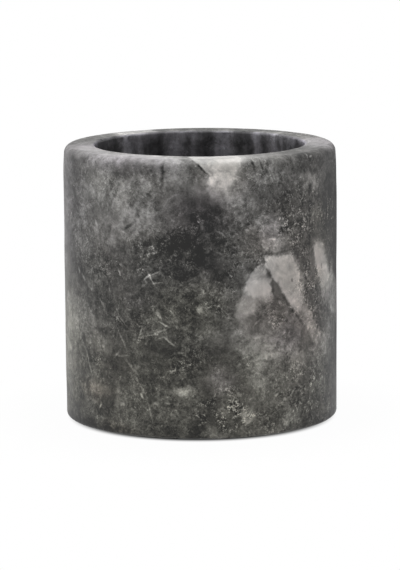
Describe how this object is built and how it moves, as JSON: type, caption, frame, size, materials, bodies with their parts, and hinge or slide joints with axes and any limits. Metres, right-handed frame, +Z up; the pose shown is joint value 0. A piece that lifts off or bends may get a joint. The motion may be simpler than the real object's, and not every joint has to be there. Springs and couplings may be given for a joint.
{
  "type": "salt cellar",
  "caption": "Open round salt cellar turned from dark grey cloudy marble, with thick walls, a soft rounded rim and thin rubber foot pads under its flat base.",
  "frame": {"origin": "centre of the footprint, on the surface that the foot pads stand on", "axes": "+Z up along the pot's axis, -Y towards the side that the picture shows, +X to the right in it"},
  "size_m": [0.076, 0.076, 0.0768],
  "materials": {
    "marble": "honed dark grey marble, matt to satin, with cloudy light patches and fine white crystals",
    "pad_rubber": "matt black rubber"
  },
  "bodies": {
    "root": {"pot": "marble", "foot_pad_1": "pad_rubber", "foot_pad_2": "pad_rubber", "foot_pad_3": "pad_rubber", "foot_pad_4": "pad_rubber"}
  },
  "joints": []
}
